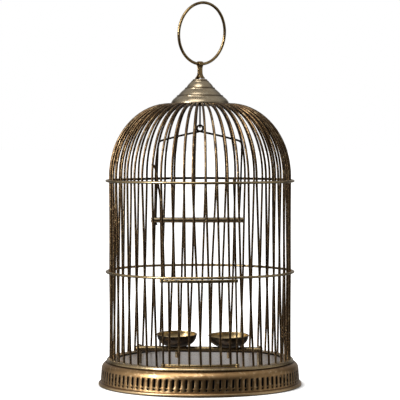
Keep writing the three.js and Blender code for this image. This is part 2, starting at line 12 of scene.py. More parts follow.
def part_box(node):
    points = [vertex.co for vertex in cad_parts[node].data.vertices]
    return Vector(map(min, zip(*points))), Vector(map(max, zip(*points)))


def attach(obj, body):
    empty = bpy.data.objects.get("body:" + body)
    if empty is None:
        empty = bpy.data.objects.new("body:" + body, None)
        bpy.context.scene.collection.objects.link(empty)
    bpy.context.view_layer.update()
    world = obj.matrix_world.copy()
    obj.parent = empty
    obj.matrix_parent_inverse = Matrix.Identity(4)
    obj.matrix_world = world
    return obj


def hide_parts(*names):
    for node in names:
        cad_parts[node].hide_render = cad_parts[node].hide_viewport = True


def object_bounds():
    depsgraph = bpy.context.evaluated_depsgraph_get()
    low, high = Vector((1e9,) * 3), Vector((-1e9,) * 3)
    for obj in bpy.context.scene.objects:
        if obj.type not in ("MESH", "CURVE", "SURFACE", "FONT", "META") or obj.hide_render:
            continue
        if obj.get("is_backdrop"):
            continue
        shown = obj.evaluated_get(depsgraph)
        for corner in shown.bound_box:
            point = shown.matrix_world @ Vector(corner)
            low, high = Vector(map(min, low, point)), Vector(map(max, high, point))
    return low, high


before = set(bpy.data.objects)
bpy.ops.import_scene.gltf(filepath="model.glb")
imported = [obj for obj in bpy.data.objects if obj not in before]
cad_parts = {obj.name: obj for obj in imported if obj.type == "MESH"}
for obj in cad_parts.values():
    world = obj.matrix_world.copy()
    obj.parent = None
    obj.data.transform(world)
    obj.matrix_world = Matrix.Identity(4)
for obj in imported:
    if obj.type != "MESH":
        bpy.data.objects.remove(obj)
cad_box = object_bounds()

MM = 0.001

# ---- driving sizes ------------------------------------------------------------------------

WIRE_COUNT = 52
WIRE_PITCH = 360 / WIRE_COUNT
WIRE_RADIUS = 1.72
ROD_RADIUS = 1.5
WIRE_CIRCLE = 134.4
DOOR_HALF_WIRES = 3
MIDDLE_TWIST = -2.0
UPPER_TWIST = -3.65
DOME_SPRING = 311.6
DOME_TOP = 419.2
DOME_FLAT_RADIUS = 45.0
HAIRPIN_RADIUS = 40.0
WOBBLE = 0.32            # degrees that hand work has left each wire off its place

HOOP_WIDTH = 5.0
HOOP_THICKNESS = 3.8
HOOP_RADIUS = WIRE_CIRCLE + WIRE_RADIUS + HOOP_WIDTH / 2 + 0.25
HOOP_STEPS = 208

SLOT_COUNT = 96
SLOT_WIDTH = 3.3
SLOT_BOTTOM, SLOT_TOP = 11.9, 24.5
SLOT_SLANT = 0.055       # sideways run for each millimetre of height
DOT_RADIUS = 1.4
DOT_HEIGHT = 9.2
BAND_BOTTOM = (148.8, 6.5)
BAND_TOP = (147.45, 25.8)
SKIRT_WALL = 1.2
HOLE_EDGE = 0.15         # how far the edge of a pierced hole is rounded over
FLOOR_RIM = 0.5          # how far the floor plate's edge stands up

GUIDE_CIRCLE = 130.0
GUIDE_ANGLES = (-23.9, 24.4)
GUIDE_LEAN = (-math.tan(math.radians(1.0)), math.tan(math.radians(0.5)))
GUIDE_STRAIGHT_TOP = 283.0
DOOR_BARS = 7
FIRST_BAR_ANGLE = -19.6
BAR_PITCH = 6.55
EYE_BORE = 1.9           # the eyes that run on the guide rods, inside and outside
EYE_EDGE = 3.3

RAIL_TURN = -6.8
RAIL_ACROSS = -1.3
RAIL_FRONT = 49.5
RAIL_LENGTH = 188.0
RAIL_RADIUS = 4.3
RAIL_HEIGHT = 58.0
POST_DISTANCE = 88.3
POST_RADIUS = 2.8
POST_TOP = 65.0
PIN_RADIUS = 2.6
PIN_BOTTOM = 45.0
CUP_TILT = 3.0
CUP_BOTTOM = RAIL_HEIGHT + RAIL_RADIUS + 0.35
CUP_FLAT = 9.0           # radius of the flat that a cup stands on
CUP_WALL = 0.9
CUP_LIP = 0.95
CUPS = (("left", -33.0, 30.0, 18.4), ("right", 43.6, 30.0, 17.4))   # side, along, radius, height

RING_TURN = 41.3
RING_LEAN = 5.7
RING_RADIUS = 45.5
RING_WIRE = 2.15
RING_FOOT = 479.2
STRAP_LOOP = 3.4

HOOK_BEND = 3.5
HOOK_WIRE = 1.3
HOOK_CENTRE = 388.4
BAIL_WIRE = 1.5
EYE_RADIUS = 4.5
EYE_CENTRE = 383.25
EYE_CROSSING = 1.5       # how far apart the two ends of the eye pass each other
SHOULDER = 62.0
SHOULDER_HEIGHT = 364.0
BAIL_FEET = (-66.0, 58.5)
PERCH_RADIUS = 3.95

CUP_SIDES = 96           # faces round each turned piece
CAP_SIDES = 128
BASE_SIDES = 192
RING_SIDES = 208


def heights(node):
    """The lowest and highest place of a CAD node, in millimetres."""
    low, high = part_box(node)
    return low[2] / MM, high[2] / MM


RING_BOTTOM, RING_TOP = heights("bottom_ring")
FLOOR_BOTTOM, FLOOR_TOP = heights("floor_plate")
SEAT_BOTTOM, SEAT_TOP = heights("seat_ring")
MIDDLE_HOOP = sum(heights("middle_hoop")) / 2
UPPER_HOOP = sum(heights("upper_hoop")) / 2
PERCH_HEIGHT = sum(heights("swing_perch")) / 2
TOP_RAIL = heights("door_top_rail")
BOTTOM_RAIL = heights("door_bottom_rail")

# ---- places -------------------------------------------------------------------------------


def around(radius, degrees, height):
    """A place on the cage, its angle counted from the door, positive towards +X."""
    angle = math.radians(degrees)
    return Vector((radius * math.sin(angle), -radius * math.cos(angle), height))


def lean_at(height):
    """How far the leaning guides have moved sideways at a height."""
    rise = height - RING_TOP
    return Vector((GUIDE_LEAN[0] * rise, GUIDE_LEAN[1] * rise, 0))


def on_guide(degrees, height):
    """A place on the sheet that the leaning guides and the door lie in."""
    return around(GUIDE_CIRCLE, degrees, height) + lean_at(height)


def on_rail(along, tilt=0.0):
    """Returns a function that puts a piece made upright on the Z axis at a place along the rail."""
    turn = math.radians(RAIL_TURN)
    lean = math.radians(tilt)

    def place(point):
        x, y, z = point.x, point.y, point.z - RAIL_HEIGHT
        y, z = y * math.cos(lean) - z * math.sin(lean), y * math.sin(lean) + z * math.cos(lean)
        return Vector((
            x + RAIL_ACROSS + along * math.cos(turn),
            y - RAIL_FRONT + along * math.sin(turn),
            z + RAIL_HEIGHT,
        ))

    return place


def arc(centre, along, up, radius, start, end, steps):
    """Points on an arc in the plane of two directions, its angles in degrees."""
    points = []
    for step in range(steps + 1):
        angle = math.radians(start + (end - start) * step / steps)
        points.append(centre + along * radius * math.cos(angle) + up * radius * math.sin(angle))
    return points


def bend(start, corner, end, steps):
    """Points on a soft bend from one straight run to the next."""
    points = []
    for step in range(steps + 1):
        t = step / steps
        points.append(start * (1 - t) ** 2 + corner * 2 * t * (1 - t) + end * t * t)
    return points


def bent_line(points, reach=6.0, steps=5):
    """A line of straight runs with a soft bend at each point."""
    line = [points[0]]
    for before, here, after in zip(points, points[1:], points[2:]):
        size = min(reach, (before - here).length * 0.48, (after - here).length * 0.48)
        start = here + (before - here).normalized() * size
        end = here + (after - here).normalized() * size
        line.extend(bend(start, here, end, steps))
    line.append(points[-1])
    return line


def rounded(outline, reach, steps=4, closed=False):
    """An outline of (radius, height) points with its corners rounded."""
    count = len(outline)
    soft = []
    for index, point in enumerate(outline):
        if not closed and index in (0, count - 1):
            soft.append(point)
            continue
        here = Vector(point)
        before = Vector(outline[index - 1])
        after = Vector(outline[(index + 1) % count])
        size = min(reach, (before - here).length * 0.45, (after - here).length * 0.45)
        start = here + (before - here).normalized() * size
        end = here + (after - here).normalized() * size
        soft.extend((place.x, place.y) for place in bend(start, here, end, steps))
    return soft


# ---- meshes -------------------------------------------------------------------------------


def new_piece(name, points, faces, material=None, edges=(), crease=40):
    """An object at the origin from points in millimetres."""
    mesh = bpy.data.meshes.new(name)
    mesh.from_pydata([tuple(point * MM) for point in points], list(edges), faces)
    mesh.validate()
    if material is not None:
        mesh.materials.append(material)
    if faces:
        mesh.polygons.foreach_set("use_smooth", [True] * len(mesh.polygons))
        mesh.set_sharp_from_angle(angle=math.radians(crease))
    piece = bpy.data.objects.new(name, mesh)
    bpy.context.scene.collection.objects.link(piece)
    return piece


def spun_faces(outline, segments, closed):
    """Points and faces of an outline turned about the Z axis. It goes up the outside."""
    points, rows, faces = [], [], []
    for radius, height in outline:
        if radius < 1e-6:
            rows.append([len(points)] * segments)
            points.append(Vector((0, 0, height)))
            continue
        rows.append(list(range(len(points), len(points) + segments)))
        for index in range(segments):
            points.append(around(radius, 360 * index / segments, height))
    pairs = list(zip(rows, rows[1:]))
    if closed:
        pairs.append((rows[-1], rows[0]))
    for lower, upper in pairs:
        for index in range(segments):
            following = (index + 1) % segments
            corners = [lower[index], lower[following], upper[following], upper[index]]
            corners = [c for n, c in enumerate(corners) if c not in corners[:n]]
            if len(corners) > 2:
                faces.append(corners)
    return points, faces


def spun(name, outline, material, segments, closed=False, place=None, crease=40):
    """A piece turned on a lathe, and then put in its place."""
    points, faces = spun_faces(outline, segments, closed)
    if place is not None:
        points = [place(point) for point in points]
    return new_piece(name, points, faces, material, crease=crease)


def swept(line, section, closed=False, frame_up=Vector((0, 0, 1))):
    """Points and faces of a (sideways, up) section carried along a line, its up side kept up."""
    points, faces = [], []
    count, size = len(line), len(section)
    for index, here in enumerate(line):
        if closed:
            before, after = line[index - 1], line[(index + 1) % count]
        else:
            before, after = line[max(index - 1, 0)], line[min(index + 1, count - 1)]
        along = (after - before).normalized()
        side = along.cross(frame_up).normalized()
        up = side.cross(along)
        points.extend(here + side * across + up * rise for across, rise in section)
    for index in range(count if closed else count - 1):
        first, second = index * size, (index + 1) % count * size
        for corner in range(size):
            following = (corner + 1) % size
            faces.append([
                second + corner, second + following, first + following, first + corner,
            ])
    if not closed:
        faces.append(list(range(size)))
        faces.append(list(range((count - 1) * size, count * size))[::-1])
    return points, faces


def oval(width, height, sides=16, squareness=0.8):
    """A section between an ellipse and a rectangle."""
    section = []
    for index in range(sides):
        angle = 2 * math.pi * (index + 0.5) / sides
        x, y = math.cos(angle), math.sin(angle)
        section.append((
            math.copysign(abs(x) ** squareness, x) * width / 2,
            math.copysign(abs(y) ** squareness, y) * height / 2,
        ))
    return section


# ---- geometry node trees ------------------------------------------------------------------


def add_node(tree, kind, sockets=(), **values):
    """A node with its properties set, and each socket linked or given its value."""
    node = tree.nodes.new(kind)
    for name, value in values.items():
        setattr(node, name, value)
    for socket, source in sockets:
        if hasattr(source, "is_linked"):
            tree.links.new(source, node.inputs[socket])
        else:
            node.inputs[socket].default_value = source
    return node


class Tree:
    """A geometry node tree with named inputs that ends in Realize Instances and Set Material."""

    def __init__(self, name, inputs):
        self.tree = bpy.data.node_groups.new(name, "GeometryNodeTree")
        sockets = self.tree.interface
        sockets.new_socket("Geometry", in_out="INPUT", socket_type="NodeSocketGeometry")
        for label, kind in inputs:
            sockets.new_socket(label, in_out="INPUT", socket_type=kind)
        sockets.new_socket("Finish", in_out="INPUT", socket_type="NodeSocketMaterial")
        sockets.new_socket("Geometry", in_out="OUTPUT", socket_type="NodeSocketGeometry")
        self.input = self.tree.nodes.new("NodeGroupInput")

    def add(self, kind, sockets=(), **values):
        return add_node(self.tree, kind, sockets, **values)

    def end(self, geometry):
        """Realises the geometry and gives it its finish."""
        smooth = self.add("GeometryNodeSetShadeSmooth", [("Geometry", geometry)])
        real = self.add("GeometryNodeRealizeInstances", [("Geometry", smooth.outputs[0])])
        finish = self.add("GeometryNodeSetMaterial", [
            ("Geometry", real.outputs[0]),
            ("Material", self.input.outputs["Finish"]),
        ])
        output = self.tree.nodes.new("NodeGroupOutput")
        self.tree.links.new(finish.outputs[0], output.inputs[0])
        return self.tree


def wire_tree():
    """Round wire along each line of the mesh."""
    tree = Tree("wire_along_line", [("Radius", "NodeSocketFloat"), ("Sides", "NodeSocketInt")])
    line = tree.add("GeometryNodeMeshToCurve", [("Mesh", tree.input.outputs["Geometry"])])
    section = tree.add("GeometryNodeCurvePrimitiveCircle", [
        ("Resolution", tree.input.outputs["Sides"]),
        ("Radius", tree.input.outputs["Radius"]),
    ])
    drawn = tree.add("GeometryNodeCurveToMesh", [
        ("Curve", line.outputs[0]),
        ("Profile Curve", section.outputs["Curve"]),
        ("Fill Caps", True),
    ])
    return tree.end(drawn.outputs[0])


def bead_tree():
    """A flattened bead at each point, facing away from the cage's axis."""
    tree = Tree("beads_at_points", [
        ("Radius", "NodeSocketFloat"), ("Stretch", "NodeSocketVector"),
    ])
    bead = tree.add("GeometryNodeMeshUVSphere", [
        ("Segments", 10), ("Rings", 7), ("Radius", tree.input.outputs["Radius"]),
    ])
    position = tree.add("GeometryNodeInputPosition")
    level = tree.add("ShaderNodeVectorMath", [(0, position.outputs[0]), (1, (1.0, 1.0, 0.0))],
                     operation="MULTIPLY")
    facing = tree.add("FunctionNodeAlignRotationToVector", [("Vector", level.outputs[0])],
                      axis="X", pivot_axis="Z")
    beads = tree.add("GeometryNodeInstanceOnPoints", [
        ("Points", tree.input.outputs["Geometry"]),
        ("Instance", bead.outputs["Mesh"]),
        ("Rotation", facing.outputs[0]),
        ("Scale", tree.input.outputs["Stretch"]),
    ])
    return tree.end(beads.outputs[0])


def round_tree():
    """Copies of one panel set round the axis and joined edge to edge."""
    tree = Tree("panel_round_ring", [("Count", "NodeSocketInt")])
    count = tree.input.outputs["Count"]
    spots = tree.add("GeometryNodePoints", [("Count", count)])
    index = tree.add("GeometryNodeInputIndex")
    share = tree.add("ShaderNodeMath", [(0, index.outputs[0]), (1, count)], operation="DIVIDE")
    angle = tree.add("ShaderNodeMath", [(0, share.outputs[0]), (1, 2 * math.pi)],
                     operation="MULTIPLY")
    turn = tree.add("ShaderNodeCombineXYZ", [("Z", angle.outputs[0])])
    panels = tree.add("GeometryNodeInstanceOnPoints", [
        ("Points", spots.outputs[0]),
        ("Instance", tree.input.outputs["Geometry"]),
        ("Rotation", turn.outputs[0]),
    ])
    real = tree.add("GeometryNodeRealizeInstances", [("Geometry", panels.outputs[0])])
    joined = tree.add("GeometryNodeMergeByDistance", [
        ("Geometry", real.outputs[0]), ("Distance", 0.02 * MM),
    ])
    return tree.end(joined.outputs[0])


def grown(piece, tree, crease=None, **inputs):
    """Runs a tree on a piece and keeps the result as the piece's plain mesh."""
    modifier = piece.modifiers.new(tree.name, "NODES")
    modifier.node_group = tree
    wanted = {name.replace("_", " ").capitalize(): value for name, value in inputs.items()}
    for item in tree.interface.items_tree:
        if item.item_type == "SOCKET" and item.in_out == "INPUT" and item.name in wanted:
            modifier[item.identifier] = wanted[item.name]
    piece.update_tag()
    depsgraph = bpy.context.evaluated_depsgraph_get()
    mesh = bpy.data.meshes.new_from_object(piece.evaluated_get(depsgraph))
    piece.modifiers.remove(modifier)
    piece.data = mesh
    mesh.name = piece.name
    if crease is not None:
        mesh.set_sharp_from_angle(angle=math.radians(crease))
    return piece


def drawn_wires(name, lines, radius, material, sides=10, closed=False):
    """One piece of round wire along every line."""
    points, edges = [], []
    for line in lines:
        first = len(points)
        points.extend(line)
        edges.extend((n, n + 1) for n in range(first, len(points) - 1))
        if closed:
            edges.append((len(points) - 1, first))
    piece = new_piece(name, points, [], edges=edges)
    return grown(piece, WIRE_TREE, 60, radius=radius * MM, sides=sides, finish=material)


def mark_inside(piece, marks):
    """Stores how far each point takes the finish's inside colour, mostly a painted shade, for the
    finish to read.
    """
    attribute = piece.data.attributes.new("inside", "FLOAT", "POINT")
    attribute.data.foreach_set("value", marks)


def mark_within(piece, radius, most=1.0):
    """Marks the side of a ring that faces the cage's axis, for a painted shade there."""
    mark_inside(piece, [most * (v.co.xy.length < radius * MM) for v in piece.data.vertices])


def beads(name, points, radius, stretch, material):
    """One piece of flattened beads, one at each point."""
    piece = new_piece(name, points, [])
    return grown(piece, BEAD_TREE, radius=radius * MM, stretch=stretch, finish=material)


# ---- finishes -----------------------------------------------------------------------------


class Finish:
    """A finish built from nodes that read the object's own coordinates."""

    def __init__(self, name):
        self.material = bpy.data.materials.new(name)
        self.material.use_nodes = True
        self.tree = self.material.node_tree
        self.shader = self.tree.nodes["Principled BSDF"]
        self.place = self.node("ShaderNodeTexCoord").outputs["Object"]

    def node(self, kind, sockets=(), **values):
        return add_node(self.tree, kind, sockets, **values)

    def noise(self, size, detail=4.0, vector=None):
        """Noise whose blotches are about size millimetres across."""
        node = self.node("ShaderNodeTexNoise", [
            ("Vector", vector or self.place), ("Scale", 1 / (size * MM)), ("Detail", detail),
        ])
        return node.outputs[0]

    def level(self, vector):
        """A place without its height."""
        return self.node("ShaderNodeVectorMath", [(0, vector), (1, (1.0, 1.0, 0.0))],
                         operation="MULTIPLY").outputs[0]

    def away(self, vector):
        """How far a place is from the middle."""
        return self.node("ShaderNodeVectorMath", [(0, vector)],
                         operation="LENGTH").outputs["Value"]

    def ramp(self, value, low, high, start=0.0, end=1.0):
        """Goes softly from start at the low value to end at the high one."""
        node = self.node("ShaderNodeMapRange", [
            ("Value", value), ("From Min", low), ("From Max", high),
            ("To Min", start), ("To Max", end),
        ], interpolation_type="SMOOTHSTEP")
        return node.outputs[0]

    def math(self, operation, first, second):
        return self.node("ShaderNodeMath", [(0, first), (1, second)], operation=operation).outputs[0]

    def mix(self, share, first, second):
        """One colour laid over another."""
        return self.node("ShaderNodeMix", [(0, share), (6, first), (7, second)],
                         data_type="RGBA").outputs[2]

    def turned_lines(self, centre, size):
        """Noise stretched round a centre, for the fine lines that a lathe leaves."""
        moved = self.node("ShaderNodeMapping", [
            ("Vector", self.place), ("Location", (-centre[0] * MM, -centre[1] * MM, 0.0)),
        ])
        parts = self.node("ShaderNodeSeparateXYZ", [("Vector", moved.outputs[0])])
        lines = self.node("ShaderNodeCombineXYZ", [
            ("X", self.away(self.level(moved.outputs[0]))), ("Y", parts.outputs["Z"]),
        ])
        return self.noise(size, 5.0, lines.outputs[0])

    def metal(self, base, rough, height, depth):
        """Ends the finish as a metal with a fine relief, its depth in millimetres."""
        bump = self.node("ShaderNodeBump", [
            ("Height", height), ("Strength", 1.0), ("Distance", depth * MM),
        ])
        self.tree.links.new(base, self.shader.inputs["Base Color"])
        self.tree.links.new(rough, self.shader.inputs["Roughness"])
        self.tree.links.new(bump.outputs[0], self.shader.inputs["Normal"])
        self.shader.inputs["Metallic"].default_value = 1.0
        return self.material


def colour(red, green, blue):
    return (red, green, blue, 1.0)


def aged_brass(name, brass, patina, rubbed, rough=(0.24, 0.5), share=0.5, blotch=18.0,
               grain=0.9, depth=0.02, turned=None, grooves=(), painted_highlights=(), inside=None):
    """Old brass: brown patina in blotches and grooves, rubbed bright spots and painted highlight lines.

    The share is how much of it is patina. Blotch, grain and depth are in millimetres. Each groove and
    painted highlight line is its height, its half width and how strong it is. A turned piece gives
    its centre.
    """
    finish = Finish(name)
    blotches = finish.noise(blotch, 6.0)
    grains = finish.noise(grain, 3.0)
    mottled = finish.math("ADD", blotches, finish.math("MULTIPLY", grains, 0.35))
    patina_mask = finish.ramp(mottled, 1.17 - share, 1.37 - share * 0.72, 0.0, 1.0)
    rubbed_mask = finish.ramp(finish.noise(blotch * 0.35, 5.0), 0.52, 0.68, 0.0, 0.7)
    base = finish.mix(rubbed_mask, brass, rubbed)
    base = finish.mix(patina_mask, base, patina)
    height = grains
    if turned is not None:
        lines = finish.turned_lines(turned, 0.7)
        height = finish.math("ADD", finish.math("MULTIPLY", grains, 0.3), lines)
        base = finish.mix(finish.ramp(lines, 0.35, 0.7, 0.0, 0.25), base, patina)
    level = finish.node("ShaderNodeSeparateXYZ", [("Vector", finish.place)]).outputs["Z"]
    # Grooves take the patina colour; the painted highlight lines take the rubbed colour.
    for lines, shade in ((grooves, patina), (painted_highlights, rubbed)):
        for height_mm, half_mm, most in lines:
            away = finish.math("SUBTRACT", level, height_mm * MM)
            away = finish.math("ABSOLUTE", away, 0.0)
            base = finish.mix(finish.ramp(away, 0.0, half_mm * MM, most, 0.0), base, shade)
    # The marked side takes the inside colour: a painted shade on inner walls and undersides, and the
    # golden inside on the cups.
    if inside is not None:
        mark = finish.node("ShaderNodeAttribute", attribute_name="inside").outputs["Fac"]
        base = finish.mix(mark, base, inside)
    roughness = finish.math("ADD", finish.ramp(patina_mask, 0.0, 1.0, *rough),
                            finish.ramp(grains, 0.3, 0.7, -0.04, 0.06))
    return finish.metal(base, roughness, height, depth)


def tarnished_wire():
    """The cage's wires and the door's bars: dark brown, rubbed to gold in streaks."""
    return aged_brass(
        "tarnished_wire_brass", colour(0.15, 0.092, 0.044), colour(0.024, 0.013, 0.009),
        colour(0.44, 0.32, 0.175), rough=(0.22, 0.36), share=0.54, blotch=22.0, grain=3.0,
        depth=0.002)


def blackened_wire():
    """The swing's bail and its hook."""
    return aged_brass(
        "blackened_wire", colour(0.03, 0.02, 0.013), colour(0.012, 0.008, 0.006),
        colour(0.07, 0.05, 0.03), rough=(0.3, 0.46), share=0.6, blotch=20.0, depth=0.002)


def tarnished_shaded_hoop():
    """The hoops and the door's rails: paler than the wires, with a black painted shade on the side
    turned inward.
    """
    return aged_brass(
        "tarnished_shaded_hoop_brass", colour(0.42, 0.31, 0.16), colour(0.12, 0.075, 0.04),
        colour(0.66, 0.53, 0.32), rough=(0.26, 0.42), share=0.48, blotch=14.0, depth=0.01,
        # The inside colour is a painted shade on the hoops' inward side.
        inside=colour(0.02, 0.014, 0.01))


def pressed_base():
    """The golden skirt: dirt in the groove above the bead, a painted highlight along the bead, and a
    painted shade on its inner side and in its holes.
    """
    return aged_brass(
        "golden_pressed_brass", colour(0.42, 0.255, 0.115), colour(0.15, 0.08, 0.034),
        colour(0.76, 0.55, 0.31), rough=(0.34, 0.5), share=0.47, blotch=16.0, depth=0.012,
        # The line at 2.4 mm paints a highlight along the bead; the inside colour is a painted shade.
        grooves=((5.4, 1.2, 1.0), (34.4, 1.0, 0.6)), painted_highlights=((2.4, 2.6, 0.9),),
        inside=colour(0.03, 0.022, 0.015))


def flat_ring():
    """The cage's bottom ring: dirt where it lies on the base, and a painted shade on its inner wall."""
    return aged_brass(
        "bottom_ring_brass", colour(0.43, 0.32, 0.175), colour(0.10, 0.065, 0.035),
        colour(0.62, 0.49, 0.30), rough=(0.28, 0.44), share=0.47, blotch=20.0, depth=0.012,
        # The inside colour is a painted shade on the ring's inner wall.
        grooves=((35.0, 1.8, 0.95),), inside=colour(0.02, 0.015, 0.01))


def tinned_floor():
    """The grey floor plate, with fine turning lines."""
    return aged_brass(
        "grey_tinned_floor", colour(0.80, 0.74, 0.69), colour(0.58, 0.52, 0.46),
        colour(0.86, 0.83, 0.79), rough=(0.3, 0.42), share=0.44, blotch=40.0, depth=0.008,
        turned=(0.0, 0.0))


def spun_cap():
    """The cap: satin bronze with turning lines, dirt in the steps between its tiers, and a dark painted
    shade on its underside.
    """
    return aged_brass(
        "spun_cap_bronze", colour(0.44, 0.36, 0.245), colour(0.11, 0.075, 0.04),
        colour(0.56, 0.48, 0.35), rough=(0.26, 0.4), share=0.4, blotch=24.0, depth=0.014,
        turned=(0.0, 0.0), grooves=((432.4, 1.7, 1.0), (443.9, 1.7, 1.0), (454.6, 1.2, 1.0)),
        # The inside colour is a painted shade under the cap.
        inside=colour(0.02, 0.015, 0.01))


def rubbed_hanger():
    """The hanging ring and its strap, rubbed golden by hands."""
    return aged_brass(
        "rubbed_hanger_brass", colour(0.30, 0.20, 0.085), colour(0.06, 0.03, 0.016),
        colour(0.60, 0.46, 0.24), rough=(0.24, 0.42), share=0.53, blotch=16.0, depth=0.006)


def spun_cup():
    """The cups: a nearly black painted shade outside, golden inside."""
    return aged_brass(
        "spun_cup_brass", colour(0.04, 0.032, 0.025), colour(0.018, 0.016, 0.016),
        colour(0.12, 0.08, 0.045), rough=(0.3, 0.46), share=0.5, blotch=14.0, depth=0.01,
        inside=colour(0.46, 0.34, 0.17))


def feeder_rail():
    """The round rail: golden on top, with a dark painted shade underneath."""
    return aged_brass(
        "feeder_rail_brass", colour(0.29, 0.21, 0.105), colour(0.045, 0.028, 0.017),
        colour(0.46, 0.35, 0.19), rough=(0.26, 0.44), share=0.56, blotch=16.0, depth=0.01,
        # The inside colour is a painted shade on the rail's lower half.
        inside=colour(0.03, 0.022, 0.015))


def dark_bronze():
    """The perch, the rail's posts and the cups' pins."""
    return aged_brass(
        "dark_perch_bronze", colour(0.26, 0.20, 0.125), colour(0.07, 0.05, 0.032),
        colour(0.32, 0.26, 0.18), rough=(0.34, 0.55), share=0.5, blotch=10.0, depth=0.02)


def dull_solder():
    """The solder at the hoops and at the wires' feet, and the crown's hidden plate and stem."""
    return aged_brass(
        "dull_solder", colour(0.22, 0.16, 0.095), colour(0.08, 0.05, 0.03),
        colour(0.36, 0.29, 0.18), rough=(0.36, 0.55), share=0.5, blotch=3.0, depth=0.02)


def make_finishes():
    """Every finish on the cage."""
    return {
        "wire": tarnished_wire(),
        "dark wire": blackened_wire(),
        "hoop": tarnished_shaded_hoop(),
        "base": pressed_base(),
        "ring": flat_ring(),
        "floor": tinned_floor(),
        "cap": spun_cap(),
        "hanger": rubbed_hanger(),
        "cup": spun_cup(),
        "rail": feeder_rail(),
        "bronze": dark_bronze(),
        "solder": dull_solder(),
    }


# ---- base ---------------------------------------------------------------------------------


def slot_outline(grow):
    """A slanted slot with round ends, in (sideways, height), grown by an edge."""
    radius = SLOT_WIDTH / 2 + grow
    top, bottom = SLOT_TOP - SLOT_WIDTH / 2, SLOT_BOTTOM + SLOT_WIDTH / 2
    middle = (SLOT_TOP + SLOT_BOTTOM) / 2
    outline = []
    for centre, start in ((top, 0), (bottom, 180)):
        for step in range(7):
            angle = math.radians(start + 30 * step)
            height = centre + radius * math.sin(angle)
            outline.append((radius * math.cos(angle) + (height - middle) * SLOT_SLANT, height))
    return outline


def dot_outline(grow):
    """The round dot under a slot, set over by the slot's slant."""
    radius = DOT_RADIUS + grow
    shift = (DOT_HEIGHT - (SLOT_TOP + SLOT_BOTTOM) / 2) * SLOT_SLANT
    outline = []
    for step in range(10):
        angle = math.radians(36 * step)
        outline.append((radius * math.cos(angle) + shift, DOT_HEIGHT + radius * math.sin(angle)))
    return outline


def band_point(sideways, height, depth):
    """A place on the pierced wall, from its sideways place on the flat and its depth."""
    share = (height - BAND_BOTTOM[1]) / (BAND_TOP[1] - BAND_BOTTOM[1])
    radius = BAND_BOTTOM[0] + (BAND_TOP[0] - BAND_BOTTOM[0]) * share
    return around(radius - depth, math.degrees(sideways / BAND_TOP[0]), height)


def encloses(outline, x, y):
    """Whether a place lies within a closed outline."""
    hit = False
    for (ax, ay), (bx, by) in zip(outline, outline[1:] + outline[:1]):
        if (ay > y) != (by > y) and x < (bx - ax) * (y - ay) / (by - ay) + ax:
            hit = not hit
    return hit


def band_sheet(depth, grow, columns, half_width, inward):
    """One side of a panel of the pierced wall, with its slot and its dot cut out."""
    rows = 5
    low, high = BAND_BOTTOM[1], BAND_TOP[1]
    edge = [(-half_width + 2 * half_width * n / columns, low) for n in range(columns)]
    edge += [(half_width, low + (high - low) * n / rows) for n in range(rows)]
    edge += [(half_width - 2 * half_width * n / columns, high) for n in range(columns)]
    edge += [(-half_width, high - (high - low) * n / rows) for n in range(rows)]
    holes = [slot_outline(grow), dot_outline(grow)]
    flat, links = [], []
    for loop in [edge] + holes:
        first = len(flat)
        flat.extend(Vector(point) for point in loop)
        links.extend((first + n, first + (n + 1) % len(loop)) for n in range(len(loop)))
    verts, _, faces, *_ = delaunay_2d_cdt(flat, links, [], 0, 1e-5)
    kept = []
    for face in faces:
        x = sum(verts[c].x for c in face) / 3
        y = sum(verts[c].y for c in face) / 3
        if not any(encloses(hole, x, y) for hole in holes):
            kept.append(list(face)[::-1] if inward else list(face))
    return [band_point(v.x, v.y, depth) for v in verts], kept


def hole_walls(outline, wide, depth):
    """The rounded edge and the wall of a hole through the band."""
    points, faces = [], []
    size = len(outline)
    for loop, level in ((wide, 0.0), (outline, HOLE_EDGE), (outline, depth)):
        points.extend(band_point(x, y, level) for x, y in loop)
    for ring in range(2):
        for n in range(size):
            a, b = ring * size + n, ring * size + (n + 1) % size
            faces.append([a, b, b + size, a + size])
    return points, faces


def skirt_panel():
    """One of the equal panels that the pierced base is made of."""
    columns = 4
    half_width = math.pi * BAND_TOP[0] / SLOT_COUNT
    points, faces, marks = [], [], []

    def take(new_points, new_faces, mark=0.0):
        first = len(points)
        marks.extend([mark] * len(new_points))
        points.extend(new_points)
        faces.extend([first + c for c in face] for face in new_faces)

    take(*band_sheet(0.0, HOLE_EDGE, columns, half_width, False))
    # The back of the band and the walls of its holes are marked for the base finish's painted shade.
    take(*band_sheet(SKIRT_WALL, 0.0, columns, half_width, True), 1.0)
    for hole in (slot_outline, dot_outline):
        take(*hole_walls(hole(0.0), hole(HOLE_EDGE), SKIRT_WALL), 1.0)
    inner_top = (BAND_TOP[0] - SKIRT_WALL, BAND_TOP[1])
    inner_bottom = (BAND_BOTTOM[0] - SKIRT_WALL, BAND_BOTTOM[1])
    upper = rounded([
        BAND_TOP, (147.0, 28.0), (145.9, 30.6), (143.9, 32.9), (141.8, SEAT_TOP),
        (140.3, SEAT_TOP), (140.3, SEAT_BOTTOM), (142.4, 32.0), (144.9, 28.6), inner_top,
    ], 1.2)
    lower = rounded([
        inner_bottom, (147.7, 0.4), (148.4, 0.0), (150.9, 0.0), (152.0, 1.1), (152.0, 3.4),
        (151.2, 4.6), (149.3, 5.1), (148.95, 5.7), BAND_BOTTOM,
    ], 0.8)
    for outline in (upper, lower):
        strip = []
        for radius, height in outline:
            for column in range(columns + 1):
                angle = (column / columns - 0.5) * 360 / SLOT_COUNT
                strip.append(around(radius, angle, height))
        quads = []
        for row in range(len(outline) - 1):
            for column in range(columns):
                corner = row * (columns + 1) + column
                quads.append([
                    corner, corner + 1, corner + columns + 2, corner + columns + 1,
                ])
        take(strip, quads)
    panel = new_piece("base_skirt_pierced", points, faces)
    mark_inside(panel, marks)
    return panel


